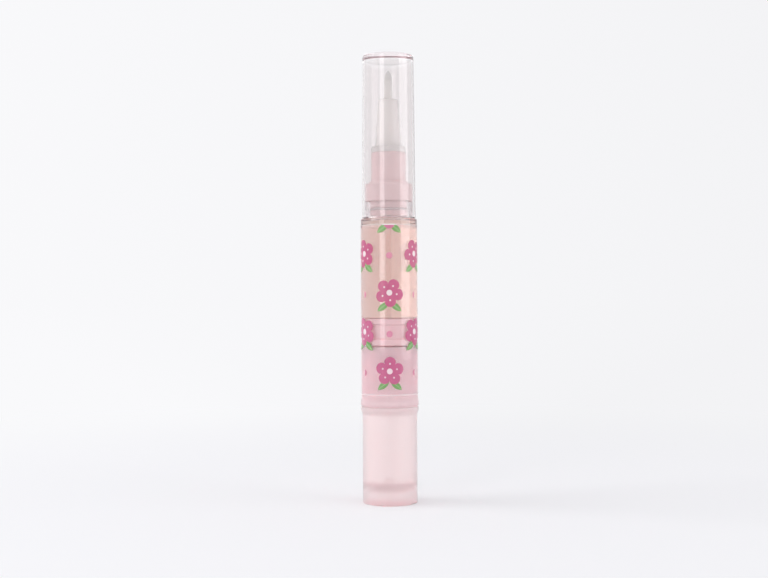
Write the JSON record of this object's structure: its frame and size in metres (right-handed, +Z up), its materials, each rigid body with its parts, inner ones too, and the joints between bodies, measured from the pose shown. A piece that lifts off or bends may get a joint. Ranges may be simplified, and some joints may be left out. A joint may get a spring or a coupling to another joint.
{
  "type": "twist-up oil pen",
  "caption": "Slim twist-up nail oil pen: clear capped brush tip, printed clear barrel with oil and piston, screw feed and ratchet inside, tinted turning knob as foot.",
  "frame": {"origin": "middle of the knob's foot, on the surface that the pen stands on", "axes": "+Z up the pen's own axis, from the knob to the cap's closed end; +X and +Y across it"},
  "size_m": [0.0175, 0.0174, 0.1344],
  "materials": {
    "clear_shell": "clear, polished mould",
    "bristle": "fine nylon bristles",
    "milky_pp": "milky, semi-matte",
    "pink_translucent": "tinted translucent, gloss",
    "frosted_pink": "frosted, semi-matte",
    "white_pom": "natural acetal, satin",
    "silicone": "soft, matte",
    "printed_film": "clear gloss film with coloured print",
    "oil": "clear, pale peach liquid"
  },
  "bodies": {
    "barrel": {"barrel": "clear_shell", "label_film": "printed_film", "front_collar": "pink_translucent", "collar_seal": "silicone", "nozzle": "milky_pp", "brush_holder": "milky_pp", "brush_tuft": "bristle", "oil_fill": "oil", "guide_sleeve": "frosted_pink", "ratchet_ring": "white_pom", "thread_nut": "white_pom", "drag_ring": "silicone"},
    "knob": {"knob": "pink_translucent", "driver_sleeve": "white_pom", "end_plug": "pink_translucent"},
    "screw_rod": {"screw_rod": "white_pom"},
    "piston": {"piston": "pink_translucent"},
    "cap": {"cap": "clear_shell"}
  },
  "joints": [
    {"name": "knob_turn", "type": "hinge", "parent": "barrel", "child": "knob", "pos_m": [0, 0, 0.025], "axis": [0, 0, 1], "range_deg": [0, 4680]},
    {"name": "rod_feed", "type": "slide", "parent": "knob", "child": "screw_rod", "axis": [0, 0, 1], "range_m": [0, 0.026]},
    {"name": "piston_feed", "type": "slide", "parent": "barrel", "child": "piston", "axis": [0, 0, 1], "range_m": [0, 0.026], "deforming": ["oil_fill"]},
    {"name": "cap_pull", "type": "slide", "parent": "barrel", "child": "cap", "axis": [0, 0, 1], "range_m": [0, 0.06]}
  ],
  "couplings": [
    {"joint": "rod_feed", "follows": "knob_turn", "m_per_rad": 0.00031831},
    {"joint": "piston_feed", "follows": "knob_turn", "m_per_rad": 0.00031831}
  ]
}
